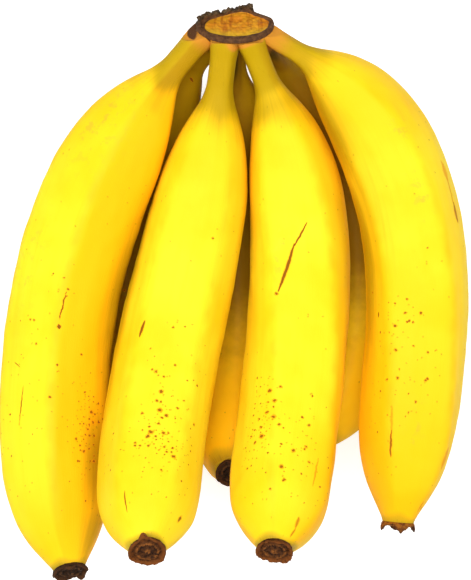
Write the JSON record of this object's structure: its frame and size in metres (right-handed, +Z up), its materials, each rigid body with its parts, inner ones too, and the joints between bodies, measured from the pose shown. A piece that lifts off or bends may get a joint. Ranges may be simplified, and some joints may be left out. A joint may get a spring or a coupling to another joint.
{
  "type": "hand of bananas",
  "caption": "Hand of ripe bananas lying on its outer row, with curved fruits in two rows on one cut crown, each with a slim neck and a dried blossom end.",
  "frame": {"origin": "on the floor under the middle of the whole hand, half way along each side of its box", "axes": "+Z up; +Y towards the cut crown, so the fruits run along -Y; +X to the right, seen from above with the crown at the top"},
  "size_m": [0.1683, 0.2049, 0.1076],
  "materials": {
    "crown": "dried, fibrous cut stalk with a dark ragged rim",
    "peel": "ripe banana peel, satin and slightly waxy, with small brown speckles",
    "blossom_end": "dry, dark and rough flower remnant"
  },
  "bodies": {
    "root": {"crown": "crown", "banana_inner_1": "peel", "banana_inner_2": "peel", "banana_inner_3": "peel", "banana_inner_4": "peel", "banana_outer_1": "peel", "banana_outer_2": "peel", "banana_outer_3": "peel", "blossom_end_inner_1": "blossom_end", "blossom_end_inner_2": "blossom_end", "blossom_end_inner_3": "blossom_end", "blossom_end_inner_4": "blossom_end", "blossom_end_outer_1": "blossom_end", "blossom_end_outer_2": "blossom_end", "blossom_end_outer_3": "blossom_end"}
  },
  "joints": []
}
